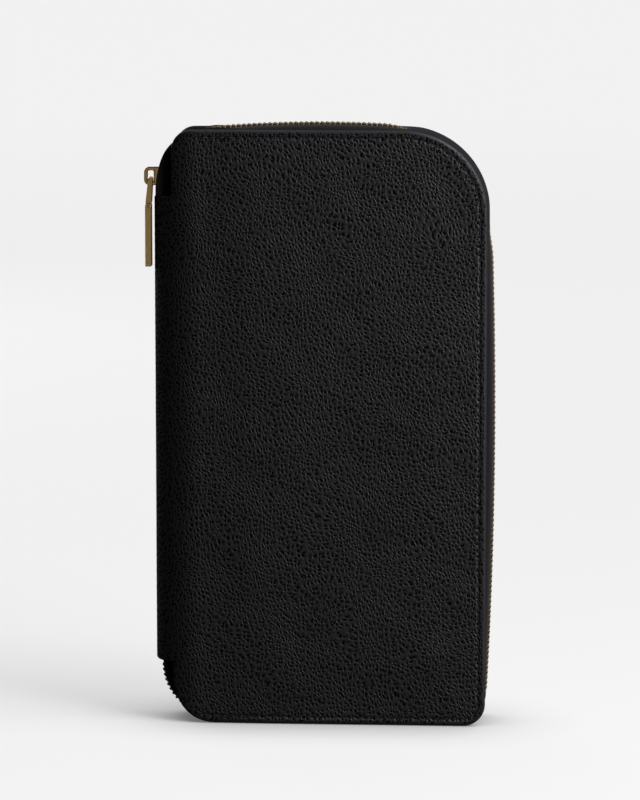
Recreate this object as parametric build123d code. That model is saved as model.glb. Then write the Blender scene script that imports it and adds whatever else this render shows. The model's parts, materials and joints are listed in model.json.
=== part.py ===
from build123d import *
import math
import os

# A zip-around travel document organizer, standing upright and closed. Millimetres.
# +Z is up, the spine is towards -X, the free edge towards +X and the front face towards -Y.
# The origin is on the ground under the middle of the covers.

# Covers: flat panels that curve inward near the spine
panel_left = -57.5  # the fold line, where a cover meets the spine
panel_right = 64.0
panel_low = 0.0
panel_high = 230.0
panel_radii = (8.5, 32.0, 8.5, 17.5)  # top left, top right, bottom right, bottom left
half_thickness = 12.0
far = 100.0  # past the object on any side

# Spine: half an ellipse in plan
curve_x = -46.0  # where the flat face starts to curve
curve_length = 18.0
spine_low = 24.5
spine_high = 204.5
stiffener_depths = (1.5, 2.7)
stiffener_inset = 20.0  # leaves room for the zip's tails at both ends
spine_lining_inset = 4.0
fold_gap = 0.3

# Layers, as depths under the outer surface
leather_depth = 1.4
padding_depths = (1.5, 2.05)
board_depths = (2.1, 3.0)
flange_depths = (3.25, 3.65)
lining_depths = (3.75, 4.35)
rim_width = 1.2
rim_depth = 3.1
padding_inset = 1.4  # padding and board end just inside the rim
board_inset = 1.6
lining_inset = 3.2  # the lining ends just inside the teeth
board_left = -44.5

# Zip chain: a closed line in the middle plane with four bowed sides
chain_left = -60.7
chain_right = 62.7
chain_low = 1.8
chain_high = 227.8
right_bow = 3.2
top_bow = 4.0
bottom_bow = 0.6
chain_radii = (24.0, 33.0, 13.0, 24.5)  # same order as panel_radii
tape_half = 0.3
flange_width = 7.0
tape_edge = 1.8  # distance of a tape's inner edge from the middle plane
tape_split_x = -52.0  # the tape is cut here between the spine and the covers
spine_tape_reach = 7.2
tail_reach = 3.6
tail_length = 14.0
tail_overlap = 1.0
tape_gap = 0.5  # from the spine leather's end to the tape's wide part

# Teeth
tooth_pitch = 2.0
tooth_body = 1.0
tooth_head = 0.5
tooth_half_height = 1.1
head_half_height = 0.85
head_reach = 0.9  # how far a head passes the middle plane
head_root = 0.45
tooth_back = 2.6
slot_depth = 0.9

# Slider
slider_angle = 12.8  # degrees up the top left arc, at the slider's middle
slider_half_angle = 13.2
wing_heights = (1.35, 2.35)
slider_half_width = 4.4
flange_half_width = 3.3
flange_height = 0.55
post_angles = (-11.5, -7.0)
post_half_width = 0.9
post_height = 1.4
stop_angle = 9.0
stop_size = 1.2
stop_inner = 1.2  # the slider's post passes between the two top stops

# Crown, pull link and pull bar
crown_left = -67.9
crown_right = -60.0
crown_low = 208.0
crown_high = 215.0
crown_hole_left = -66.5
crown_hole_right = -64.2
crown_hole_low = 209.4
crown_hole_high = 213.6
crown_half_width = 1.1
crown_round = 2.0
crown_sink = 0.15  # how far the crown's feet sink into the slider
link_x = -65.4
link_z = 210.3
link_bar_radius = 0.8
link_half_width = 2.6
link_leg_inner = 1.4
eye_low = 205.4
pin_x = -66.3
pin_z = 200.0
pin_radius = 0.5
pin_clearance = 0.08
pin_half_length = 2.9
lug_half_width = 1.2
bar_half_width = 3.0
bar_half_depth = 1.1
bar_low = 176.8
shoulder_z = 201.3
slot_low = 198.2
lug_gap = 0.15  # between the link's lug and the bar's fork

# Stitches
stitch_inset = 2.8
stitch_pitch = 3.4
stitch_length = 2.6
stitch_width = 0.5
stitch_top = 0.05  # how far a stitch lies under the surface
stitch_bottom = 0.6

# Pockets
pocket_left = -40.0
pocket_right = 56.0
seam = 3.0
sheet = 0.8
layer_gap = 0.05  # air between two layers
inner_face = half_thickness - lining_depths[1] - layer_gap  # where the first pocket layer starts
slip_hollow = 1.0
slip_left = -44.0
slip_low = 6.0
slip_right = 58.0
slip_top = 206.0
second_face = inner_face - slip_hollow - sheet - layer_gap  # where the second layer starts
pocket_low = 8.0
passport_top = 112.0
passport_hollow = 2.0
boarding_top = 165.0
card_left = -37.0
card_right = 53.0
card_low = 22.0
card_high = 112.0
card_step = 13.0
card_sheet = 0.6
card_gap = 0.1
card_border = 2.0  # how far the backing shows around the slots
card_count = 5

# Zipped pocket inside the rear cover
zip_pocket_low = 122.0
zip_pocket_high = 205.0
zip_pocket_hollow = 1.6
zip_sheet = 0.7
zip_z = 193.0
zip_y = 4.4
zip_left = -34.0
zip_right = 50.0
window_half = 3.1
zip_tape_half = 0.15
zip_tape_gap = 0.5  # from the zip's middle line to each tape
zip_tape_width = 5.0
zip_tape_overhang = 2.0
zip_tooth_pitch = 1.6
zip_tooth_width = 0.6
zip_tooth_reach = 0.3  # how far a tooth passes the middle line
zip_tooth_root = 1.4
zip_tooth_half = 0.45
zip_stop_inset = 0.6
zip_stop_half_width = 0.5
zip_stop_half_height = 1.6
zip_slider_x = -29.0
zip_slider_half_length = 3.6
zip_slider_half_width = 2.6
inner_wings = (2.9, 3.6, 5.0, 5.55)  # faces of the inner slider's two plates
inner_post = (0.4, 1.4)  # the post's two ends, from the slider's open end
inner_post_half_height = 0.4
inner_loop_half_length = 1.6
inner_loop_height = 1.6
inner_loop_half_height = 0.6
inner_pull_y = 2.1
inner_pull_back = 0.5
inner_pull_length = 8.5
inner_pull_half_height = 1.7
inner_pull_half_depth = 0.45
inner_fork_length = 2.0
inner_fork_half_height = 0.8
inner_pin_radius = 0.45
inner_pin_clearance = 0.1


# Basic shapes


def block(x_low, x_high, y_low, y_high, z_low, z_high):
    """A box given by its six faces."""
    middle = ((x_low + x_high) / 2, (y_low + y_high) / 2, (z_low + z_high) / 2)
    return Pos(*middle) * Box(x_high - x_low, y_high - y_low, z_high - z_low)


def slab(outline, y_low, y_high):
    """An outline drawn in X and Z, made solid between two Y values."""
    return extrude(Plane.XZ.offset(-y_high) * outline, amount=y_high - y_low)


def rear(shape):
    """The rear twin of a front piece."""
    return mirror(shape, about=Plane.XZ)


def rectangle(x_low, x_high, z_low, z_high):
    """A rectangle given by its four sides, drawn in X and Z."""
    return Pos((x_low + x_high) / 2, (z_low + z_high) / 2) * Rectangle(x_high - x_low, z_high - z_low)


def fillet_corner(outline, corner, radius):
    """Round the corner of an outline that lies nearest to a point."""
    nearest = outline.vertices().sort_by_distance((*corner, 0))[0]
    return fillet(nearest, radius)


def panel_outline(inset):
    """Outline of a cover, drawn in by an inset on every side."""
    x_low = panel_left + inset
    x_high = panel_right - inset
    z_low = panel_low + inset
    z_high = panel_high - inset
    outline = rectangle(x_low, x_high, z_low, z_high)
    corners = [(x_low, z_high), (x_high, z_high), (x_high, z_low), (x_low, z_low)]
    for corner, radius in zip(corners, panel_radii):
        outline = fillet_corner(outline, corner, radius - inset)
    return outline


def chain_outline(growth=0.0):
    """The closed line of the zip chain, offset outward by growth."""
    top_left = (chain_left, chain_high)
    top_right = (chain_right, chain_high)
    low_right = (chain_right, chain_low)
    low_left = (chain_left, chain_low)
    middle_x = (chain_left + chain_right) / 2
    middle_z = (chain_low + chain_high) / 2
    sides = [
        ThreePointArc(top_left, (middle_x, chain_high + top_bow), top_right),
        ThreePointArc(top_right, (chain_right + right_bow, middle_z), low_right),
        ThreePointArc(low_right, (middle_x, chain_low - bottom_bow), low_left),
        Line(low_left, top_left),
    ]
    outline = make_face(Curve(sides).edges())
    for corner, radius in zip([top_left, top_right, low_right, low_left], chain_radii):
        outline = fillet_corner(outline, corner, radius)
    return offset(outline, growth) if growth else outline


def left_arc_centre(radius, bow, level, side):
    """Centre, as X and Z, of the chain's top left (side 1) or bottom left (side -1) arc."""
    half_chord = (chain_right - chain_left) / 2
    middle_x = (chain_left + chain_right) / 2
    bow_radius = (half_chord**2 + bow**2) / (2 * bow)
    centre_x = chain_left + radius
    rise = math.sqrt((bow_radius - radius) ** 2 - (centre_x - middle_x) ** 2)
    return centre_x, level + side * (bow - bow_radius + rise)


top_arc = left_arc_centre(chain_radii[0], top_bow, chain_high, 1)
bottom_arc = left_arc_centre(chain_radii[3], bottom_bow, chain_low, -1)


def envelope(depth):
    """Everything deeper than a depth under the outer surface, with the ends and the free edge open."""
    reach = 2 * panel_right
    curve = Pos(curve_x, 0) * Ellipse(curve_length - depth, half_thickness - depth)
    flat = Pos(curve_x + reach / 2, 0) * Rectangle(reach, 2 * (half_thickness - depth))
    return extrude(curve + flat, amount=panel_high)


def layer(depths):
    """A layer that follows the outer surface, front, spine and rear, between two depths."""
    return envelope(depths[0]) - envelope(depths[1])


def fold_y():
    """Distance of the fold line from the middle plane."""
    return half_thickness * math.sqrt(1 - ((panel_left - curve_x) / curve_length) ** 2)


def spine_wedge(gap):
    """The space between the two mitred folds on the spine's side, drawn in by a gap."""
    normal = Vector((curve_x - panel_left) / curve_length**2, fold_y() / half_thickness**2).normalized()
    tip_x = panel_left + fold_y() * normal.X / normal.Y - gap / normal.Y
    reach = 2 * half_thickness
    far_x = tip_x - reach * normal.X
    far_y = reach * normal.Y
    outline = Polygon((tip_x, 0), (far_x, far_y), (far_x, -far_y), align=None)
    return extrude(outline, amount=panel_high)


# Covers


def front_part(shape, outline):
    """The part of a layer that lies in the front cover within an outline."""
    return (shape & slab(outline, -half_thickness, 0)) - spine_wedge(0)


def cover_leather():
    skin = front_part(layer((0, leather_depth)), panel_outline(0))
    ring = panel_outline(0) - panel_outline(rim_width)
    rim = slab(ring, -half_thickness, rim_depth - half_thickness) & envelope(0)
    return skin + (rim - spine_wedge(0))


def cover_padding():
    return front_part(layer(padding_depths), panel_outline(padding_inset))


def cover_board():
    outline = panel_outline(board_inset) & rectangle(board_left, panel_right, panel_low, panel_high)
    return slab(outline, board_depths[0] - half_thickness, board_depths[1] - half_thickness)


def cover_lining():
    return front_part(layer(lining_depths), chain_outline(-lining_inset))


def cover_tape():
    """Zip tape of one cover: a flange glued inside it and a wall that stands across the edge."""
    right_of_split = block(tape_split_x + fold_gap / 2, far, -half_thickness, 0, -far, 3 * far)
    flange_outline = chain_outline(tape_half) - chain_outline(-flange_width)
    wall_outline = chain_outline(tape_half) - chain_outline(-tape_half)
    flange = slab(flange_outline, flange_depths[0] - half_thickness, flange_depths[1] - half_thickness)
    wall = slab(wall_outline, flange_depths[0] - half_thickness, -tape_edge)
    return (flange + wall) & right_of_split


def stitch_row():
    """Stitches of the front cover's edge, sunk just under the surface."""
    line = panel_outline(stitch_inset).wire()
    count = round(line.length / stitch_pitch)
    stitch = Box(stitch_length, stitch_width, stitch_bottom - stitch_top)
    depth = half_thickness - (stitch_top + stitch_bottom) / 2
    stitches = []
    for index in range(count):
        point = line.position_at(index / count)
        along = line.tangent_at(index / count)
        if point.X < curve_x:
            continue
        place = Plane((point.X, -depth, point.Y), x_dir=(along.X, 0, along.Y), z_dir=(0, -1, 0))
        stitches.append(place * stitch)
    return stitches


# Spine


def spine_layer(depths, inset):
    """A layer of the spine between two depths, shortened by an inset at both ends."""
    height = block(-far, 0, -half_thickness, half_thickness, spine_low + inset, spine_high - inset)
    return layer(depths) & spine_wedge(fold_gap) & height


def spine_leather():
    return spine_layer((0, leather_depth), 0)


def spine_stiffener():
    return spine_layer(stiffener_depths, stiffener_inset)


def spine_lining():
    return spine_layer(lining_depths, spine_lining_inset)


def tape_end(z_low, z_high, tail_low, tail_high):
    """Rear half of one end of the zip's tape, with a narrow tail that tucks behind the spine leather."""
    ring = chain_outline(tape_half) - chain_outline(-tape_half)
    left = tape_split_x - fold_gap / 2
    wall = slab(ring, tape_edge, spine_tape_reach) & block(-far, left, 0, half_thickness, z_low, z_high)
    tail = slab(ring, tape_edge, tail_reach) & block(-far, left, 0, half_thickness, tail_low, tail_high)
    return wall + tail


def both_sides(shape):
    """A rear piece and its front twin, as one group of separate solids."""
    return Compound(shape.solids() + mirror(shape, about=Plane.XZ).solids())


# Zip teeth


def chain_line():
    """The chain without its straight left side: from the foot of the top left arc to the bottom left one."""
    edges = chain_outline().edges().filter_by(lambda edge: edge.center().X > chain_left + tape_half)
    return Wire(edges)


def chain_planes(distances):
    """Planes on the chain, X along it and Z outward, at distances from the foot of the top left arc."""
    line = chain_line()
    from_top = (line @ 0).Y > (line @ 1).Y
    planes = []
    for distance in distances:
        share = distance / line.length if from_top else 1 - distance / line.length
        point = line.position_at(share)
        along = line.tangent_at(share) * (1 if from_top else -1)
        place = (point.X, 0, point.Y)
        planes.append(Plane(place, x_dir=(along.X, 0, along.Y), z_dir=(-along.Y, 0, along.X)))
    return planes


def tape_slot():
    """Room for the edge of the rear tape in a tooth or a stop."""
    return block(-tooth_back, tooth_back, tooth_back - slot_depth, 2 * tooth_back, -tape_half, tape_half)


def tooth(side):
    """One tooth: a body with a slot for the tape and a thinner head past the middle plane."""
    half = tooth_half_height
    body = block(-tooth_body / 2, tooth_body / 2, head_root, tooth_back, -half, half)
    head = block(-tooth_head / 2, tooth_head / 2, -head_reach, head_root, -head_half_height, head_half_height)
    whole = body - tape_slot() + head
    return whole if side > 0 else mirror(whole, about=Plane.XZ)


def chain_teeth(side):
    """The teeth of one side, by where they ride: the spine's top end, a cover, or the spine's bottom end."""
    first = math.radians(slider_angle) * chain_radii[0] + (tooth_pitch / 2 if side > 0 else 0)
    last = chain_line().length - stop_size - tooth_body
    count = int((last - first) / tooth_pitch) + 1
    pattern = tooth(side)
    groups = {"top": [], "cover": [], "bottom": []}
    for place in chain_planes(first + tooth_pitch * index for index in range(count)):
        x = place.origin.X
        if abs(x - tape_split_x) < tooth_body:
            continue
        on_spine = "top" if place.origin.Z > panel_high / 2 else "bottom"
        groups["cover" if x > tape_split_x else on_spine].append(place * pattern)
    return groups


def zip_stops(distance):
    """A stop on each tape at a distance along the chain."""
    half = tooth_half_height
    stop = block(-stop_size / 2, stop_size / 2, stop_inner, tooth_back, -half, half)
    place = chain_planes([distance])[0]
    return both_sides(place * (stop - tape_slot()))


def closed_end_stop():
    """One block that holds both tapes together at the chain's lower end."""
    distance = chain_line().length - stop_size / 2
    stop = Box(stop_size, 2 * tooth_back, 2 * tooth_half_height)
    return chain_planes([distance])[0] * (stop - tape_slot() - mirror(tape_slot(), about=Plane.XZ))


# Slider and pull


def arc_band(inner, outer, low_angle, high_angle):
    """A band along the top left arc between two radii, from one angle up to another."""
    start = 180 - high_angle
    sweep = high_angle - low_angle
    outer_edge = CenterArc(top_arc, outer, start, sweep)
    inner_edge = CenterArc(top_arc, inner, start, sweep)
    ends = [Line(outer_edge @ 0, inner_edge @ 0), Line(outer_edge @ 1, inner_edge @ 1)]
    return make_face(Curve([outer_edge, inner_edge, *ends]).edges())


def slider_body():
    """Two curved wings joined by a post at the open end, with flanges that guide the tapes."""
    radius = chain_radii[0]
    low = slider_angle - slider_half_angle
    high = slider_angle + slider_half_angle
    post_low, post_high = (slider_angle + angle for angle in post_angles)
    post = arc_band(radius - post_height, radius + post_height, post_low, post_high)
    body = slab(post, -post_half_width, post_half_width)
    for side in (-1, 1):
        wing_edges = sorted(radius + side * height for height in wing_heights)
        flange_edges = sorted(radius + side * height for height in (flange_height, wing_heights[0]))
        body += slab(arc_band(*wing_edges, low, high), -slider_half_width, slider_half_width)
        flange = slab(arc_band(*flange_edges, low, high), flange_half_width, slider_half_width)
        body += flange
        body += mirror(flange, about=Plane.XZ)
    return body


def slider_crown():
    """The loop on the slider's back that holds the pull."""
    outline = rectangle(crown_left, crown_right, crown_low, crown_high)
    for z in (crown_low, crown_high):
        outline = fillet_corner(outline, (crown_left, z), crown_round)
    outline -= rectangle(crown_hole_left, crown_hole_right, crown_hole_low, crown_hole_high)
    outline -= Pos(*top_arc) * Circle(chain_radii[0] + wing_heights[1] - crown_sink)
    return slab(outline, -crown_half_width, crown_half_width)


def cross_bar(x, z, radius, half_length):
    """A round bar that runs from front to rear."""
    return slab(Pos(x, z) * Circle(radius), -half_length, half_length)


def pull_link():
    """A tapered strip with an eye for the crown at its top and a lug for the pin at its foot."""
    top = Pos(link_x, link_z) * Circle(link_bar_radius)
    foot = Pos(pin_x, pin_z) * Circle(bar_half_depth)
    link = slab(make_hull(top.edges() + foot.edges()), -link_half_width, link_half_width)
    link -= block(-far, 0, -link_leg_inner, link_leg_inner, eye_low, crown_high)
    link += cross_bar(link_x, link_z, link_bar_radius, link_half_width)
    cheek = block(-far, 0, lug_half_width, bar_half_width, bar_low, shoulder_z)
    link -= cheek
    link -= mirror(cheek, about=Plane.XZ)
    return link - cross_bar(pin_x, pin_z, pin_radius + pin_clearance, bar_half_width)


def pull_bar():
    """A flat bar whose forked top holds the link's lug."""
    outline = rectangle(pin_x - bar_half_depth, pin_x + bar_half_depth, bar_low, pin_z)
    outline += Pos(pin_x, pin_z) * Circle(bar_half_depth)
    bar = slab(outline, -bar_half_width, bar_half_width)
    lug_room = lug_half_width + lug_gap
    bar -= block(-far, 0, -lug_room, lug_room, slot_low, crown_low)
    return bar - cross_bar(pin_x, pin_z, pin_radius, bar_half_width)


def pull_pin():
    return cross_bar(pin_x, pin_z, pin_radius, pin_half_length)


# Pockets, drawn for the rear cover, with y counted inward from the rear lining


def pocket(edges, start_y, hollow, thickness, open_top=True):
    """A sheet held off its backing by a seam along its sides and foot, and by its top unless that is open."""
    x_low, x_high, z_low, z_high = edges
    whole = block(x_low, x_high, start_y - hollow - thickness, start_y, z_low, z_high)
    room_top = z_high if open_top else z_high - seam
    room = block(x_low + seam, x_high - seam, start_y - hollow, start_y, z_low + seam, room_top)
    return whole - room


def slip_pocket():
    return pocket((slip_left, slip_right, slip_low, slip_top), inner_face, slip_hollow, sheet)


def passport_pocket():
    edges = (pocket_left, pocket_right, pocket_low, passport_top)
    return pocket(edges, second_face, passport_hollow, sheet)


def boarding_pass_pocket():
    edges = (pocket_left, pocket_right, pocket_low, boarding_top)
    return mirror(pocket(edges, inner_face, slip_hollow, sheet), about=Plane.XZ)


def card_backing():
    outline = rectangle(card_left, card_right, card_low, card_high)
    return slab(offset(outline, card_border, kind=Kind.INTERSECTION), -second_face, card_sheet - second_face)


def card_slot(index):
    """Each slot's sheet lies in front of the one above it and ends one step lower."""
    y = (index + 1) * (card_sheet + card_gap) - second_face
    return block(card_left, card_right, y, y + card_sheet, card_low, card_high - index * card_step)


# Zipped pocket inside the rear cover


def zip_pocket_panel():
    """A closed pocket with a long window that its zip lies behind."""
    edges = (pocket_left, pocket_right, zip_pocket_low, zip_pocket_high)
    panel = pocket(edges, second_face, zip_pocket_hollow, zip_sheet, open_top=False)
    sheet_back = second_face - zip_pocket_hollow
    return panel - block(zip_left, zip_right, 0, sheet_back, zip_z - window_half, zip_z + window_half)


def zip_pocket_tapes():
    x_edges = (zip_left - zip_tape_overhang, zip_right + zip_tape_overhang)
    tapes = []
    for side in (-1, 1):
        z_edges = sorted(zip_z + side * distance for distance in (zip_tape_gap, zip_tape_width))
        tapes.append(block(*x_edges, zip_y - zip_tape_half, zip_y + zip_tape_half, *z_edges))
    return Compound([tape.solid() for tape in tapes])


def zip_pocket_teeth():
    """Two rows of small teeth, set half a pitch apart."""
    teeth = []
    first = zip_slider_x
    count = int((zip_right - 2 * zip_stop_half_height - first) / zip_tooth_pitch)
    for index in range(2 * count):
        side = 1 if index % 2 else -1
        x = first + index * zip_tooth_pitch / 2
        x_edges = (x - zip_tooth_width / 2, x + zip_tooth_width / 2)
        y_edges = (zip_y - zip_tooth_half, zip_y + zip_tooth_half)
        z_edges = sorted(zip_z + side * distance for distance in (-zip_tooth_reach, zip_tooth_root))
        teeth.append(block(*x_edges, *y_edges, *z_edges))
    return Compound([each.solid() for each in teeth])


def zip_pocket_stops():
    y_edges = (zip_y - zip_tooth_half, zip_y + zip_tooth_half)
    z_edges = (zip_z - zip_stop_half_height, zip_z + zip_stop_half_height)
    stops = []
    for x in (zip_left + zip_stop_inset, zip_right - zip_stop_inset):
        stops.append(block(x - zip_stop_half_width, x + zip_stop_half_width, *y_edges, *z_edges))
    return Compound([stop.solid() for stop in stops])


def inner_slider():
    """Two small plates joined by a post at the open end."""
    x_low = zip_slider_x - zip_slider_half_length
    x_high = zip_slider_x + zip_slider_half_length
    z_low = zip_z - zip_slider_half_width
    z_high = zip_z + zip_slider_half_width
    front = block(x_low, x_high, inner_wings[0], inner_wings[1], z_low, z_high)
    back = block(x_low, x_high, inner_wings[2], inner_wings[3], z_low, z_high)
    post_x = (x_low + inner_post[0], x_low + inner_post[1])
    post_z = (zip_z - inner_post_half_height, zip_z + inner_post_half_height)
    post = block(*post_x, inner_wings[0], inner_wings[3], *post_z)
    loop_x = (zip_slider_x - inner_loop_half_length, zip_slider_x + inner_loop_half_length)
    loop_z = (zip_z - inner_loop_half_height, zip_z + inner_loop_half_height)
    loop = block(*loop_x, inner_wings[0] - inner_loop_height, inner_wings[1], *loop_z)
    hole = upright_pin(inner_pin_radius + inner_pin_clearance, inner_loop_height)
    return front + back + post + (loop - hole)


def upright_pin(radius, half_length):
    """A short upright cylinder through the middle of the inner slider's loop."""
    return Pos(zip_slider_x, inner_pull_y, zip_z) * Cylinder(radius, 2 * half_length)


def inner_pull():
    """A small forked tab with a pin through the inner slider's loop."""
    y_low = inner_pull_y - inner_pull_half_depth
    y_high = inner_pull_y + inner_pull_half_depth
    z_low = zip_z - inner_pull_half_height
    z_high = zip_z + inner_pull_half_height
    x_low = zip_slider_x - inner_pull_back
    x_high = zip_slider_x + inner_pull_length
    tab = block(x_low, x_high, y_low, y_high, z_low, z_high)
    fork_x = (zip_slider_x - inner_fork_length, zip_slider_x + inner_fork_length)
    fork_z = (zip_z - inner_fork_half_height, zip_z + inner_fork_half_height)
    fork = block(*fork_x, 0, inner_wings[1], *fork_z)
    return (tab - fork) + upright_pin(inner_pin_radius, inner_loop_height)


# All the pieces, by the name of their file


def covers():
    """The pieces that both covers have."""
    front = {
        "leather": cover_leather(),
        "padding": cover_padding(),
        "board": cover_board(),
        "lining": cover_lining(),
        "zip_tape": cover_tape(),
        "edge_stitching": Compound(stitch_row()),
    }
    pieces = {}
    for name, shape in front.items():
        pieces["front_" + name] = shape
        pieces["rear_" + name] = rear(shape)
    return pieces


def main():
    pieces = covers()
    front_teeth = chain_teeth(-1)
    rear_teeth = chain_teeth(1)
    pieces["front_zip_teeth"] = Compound(front_teeth["cover"])
    pieces["rear_zip_teeth"] = Compound(rear_teeth["cover"])
    pieces["top_end_teeth"] = Compound(front_teeth["top"] + rear_teeth["top"])
    pieces["bottom_end_teeth"] = Compound(front_teeth["bottom"] + rear_teeth["bottom"])
    tail_top = spine_high + tail_overlap
    top_tape = tape_end(spine_high + tape_gap, panel_high, spine_high - tail_length, tail_top)
    low_tape = tape_end(panel_low, spine_low - tape_gap, spine_low - tail_overlap, spine_low + tail_length)
    pieces["top_end_tapes"] = both_sides(top_tape)
    pieces["bottom_end_tapes"] = both_sides(low_tape)
    pieces["top_stops"] = zip_stops(math.radians(stop_angle) * chain_radii[0])
    pieces["bottom_stop"] = closed_end_stop()
    pieces["spine_leather"] = spine_leather()
    pieces["spine_stiffener"] = spine_stiffener()
    pieces["spine_lining"] = spine_lining()
    pieces["slider_body"] = slider_body()
    pieces["slider_crown"] = slider_crown()
    pieces["pull_link"] = pull_link()
    pieces["pull_bar"] = pull_bar()
    pieces["pull_pin"] = pull_pin()
    pieces["rear_slip_pocket"] = slip_pocket()
    pieces["passport_pocket"] = passport_pocket()
    pieces["boarding_pass_pocket"] = boarding_pass_pocket()
    pieces["card_backing"] = card_backing()
    for index in range(card_count):
        pieces[f"card_slot_{index + 1}"] = card_slot(index)
    pieces["zip_pocket_panel"] = zip_pocket_panel()
    pieces["zip_pocket_tapes"] = zip_pocket_tapes()
    pieces["zip_pocket_teeth"] = zip_pocket_teeth()
    pieces["zip_pocket_stops"] = zip_pocket_stops()
    pieces["inner_slider"] = inner_slider()
    pieces["inner_pull"] = inner_pull()
    os.makedirs("parts", exist_ok=True)
    for name, shape in pieces.items():
        export_step(shape, f"parts/{name}.step")


main()
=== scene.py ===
import json
import math

import bmesh
import bpy
import numpy as np
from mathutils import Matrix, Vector, noise
from mathutils.geometry import delaunay_2d_cdt

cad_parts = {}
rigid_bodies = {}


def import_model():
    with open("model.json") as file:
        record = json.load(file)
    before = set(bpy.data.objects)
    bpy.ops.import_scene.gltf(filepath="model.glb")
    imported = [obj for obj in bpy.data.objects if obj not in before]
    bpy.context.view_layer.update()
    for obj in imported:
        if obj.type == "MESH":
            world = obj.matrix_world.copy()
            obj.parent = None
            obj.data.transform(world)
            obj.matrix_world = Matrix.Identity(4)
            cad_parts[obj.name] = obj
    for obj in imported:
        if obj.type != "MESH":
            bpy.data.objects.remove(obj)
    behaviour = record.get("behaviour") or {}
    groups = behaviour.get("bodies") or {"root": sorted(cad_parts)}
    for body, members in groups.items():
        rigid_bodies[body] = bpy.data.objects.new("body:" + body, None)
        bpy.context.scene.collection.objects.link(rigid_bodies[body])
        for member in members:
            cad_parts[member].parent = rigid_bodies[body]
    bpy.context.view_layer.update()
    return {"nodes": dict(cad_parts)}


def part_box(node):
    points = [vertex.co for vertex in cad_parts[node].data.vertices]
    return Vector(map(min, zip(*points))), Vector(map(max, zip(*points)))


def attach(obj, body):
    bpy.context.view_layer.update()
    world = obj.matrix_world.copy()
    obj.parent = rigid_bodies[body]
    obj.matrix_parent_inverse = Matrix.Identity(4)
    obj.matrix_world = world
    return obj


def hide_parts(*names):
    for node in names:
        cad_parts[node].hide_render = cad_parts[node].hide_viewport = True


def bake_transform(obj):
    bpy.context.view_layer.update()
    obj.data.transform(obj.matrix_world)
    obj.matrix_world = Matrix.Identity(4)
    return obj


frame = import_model()

# Metres, in the frame's own axes: +Z up, spine towards -X, front cover towards -Y.
MM = 0.001
TO_MM = 1000  # metres to millimetres, for the coordinates in materials
FRONT, REAR = -1, 1  # the two sides, as signs of Y

# Sizes read from the frame
leather_low, leather_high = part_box("front_leather")
spine_box_low, spine_box_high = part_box("spine_leather")
half_thickness = -leather_low.y
fold_x = leather_low.x
panel_right = leather_high.x
panel_low = leather_low.z
panel_high = leather_high.z
spine_low = spine_box_low.z
spine_high = spine_box_high.z
spine_foot = spine_low - 1.3 * MM  # the leather's foot hangs a little past the spine's core

# Sizes of the cover's section and outline
curve_x = -46 * MM
curve_length = curve_x - spine_box_low.x
panel_radii = (17.5 * MM, 8.5 * MM, 32 * MM, 8.5 * MM)  # bottom left, bottom right, top right, top left
notch_radius = 1.0 * MM
edge_round = 1.2 * MM
leather_depth = 1.4 * MM
stitch_inset = 2.8 * MM
stitch_pitch = 3.3 * MM
stitch_slant = 0.12
sharp_angle = math.radians(50)  # steeper edges are shaded sharp

# The closed line of the zip chain: corners, how far each side bows, and the corner radii
chain_left = -60.7 * MM
chain_right = 63.0 * MM
chain_low = 1.8 * MM
chain_high = 227.6 * MM
chain_bows = (0.6 * MM, 3.2 * MM, 4.0 * MM, 0.001 * MM)  # bottom, right, top, left
chain_radii = (20 * MM, 13 * MM, 33 * MM, 24 * MM)  # bottom left, bottom right, top right, top left
tooth_pitch = 2.0 * MM
tape_edge = 1.0 * MM
tape_thickness = 0.4 * MM
slider_side = 4.5 * MM  # just past the slider's plates
corner_draw = 2.4 * MM  # how far the chain is drawn in round the wide top right corner
top_arc_height = panel_high - 23.8 * MM  # where the top left arc starts on the straight left side
closed_end_height = panel_low + 26.4 * MM  # where the teeth end on that side, at the bottom
zip_bend = (-50 * MM, -59 * MM)  # X where the zip starts and stops bending from a cover to the spine


# ---------------- materials


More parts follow.
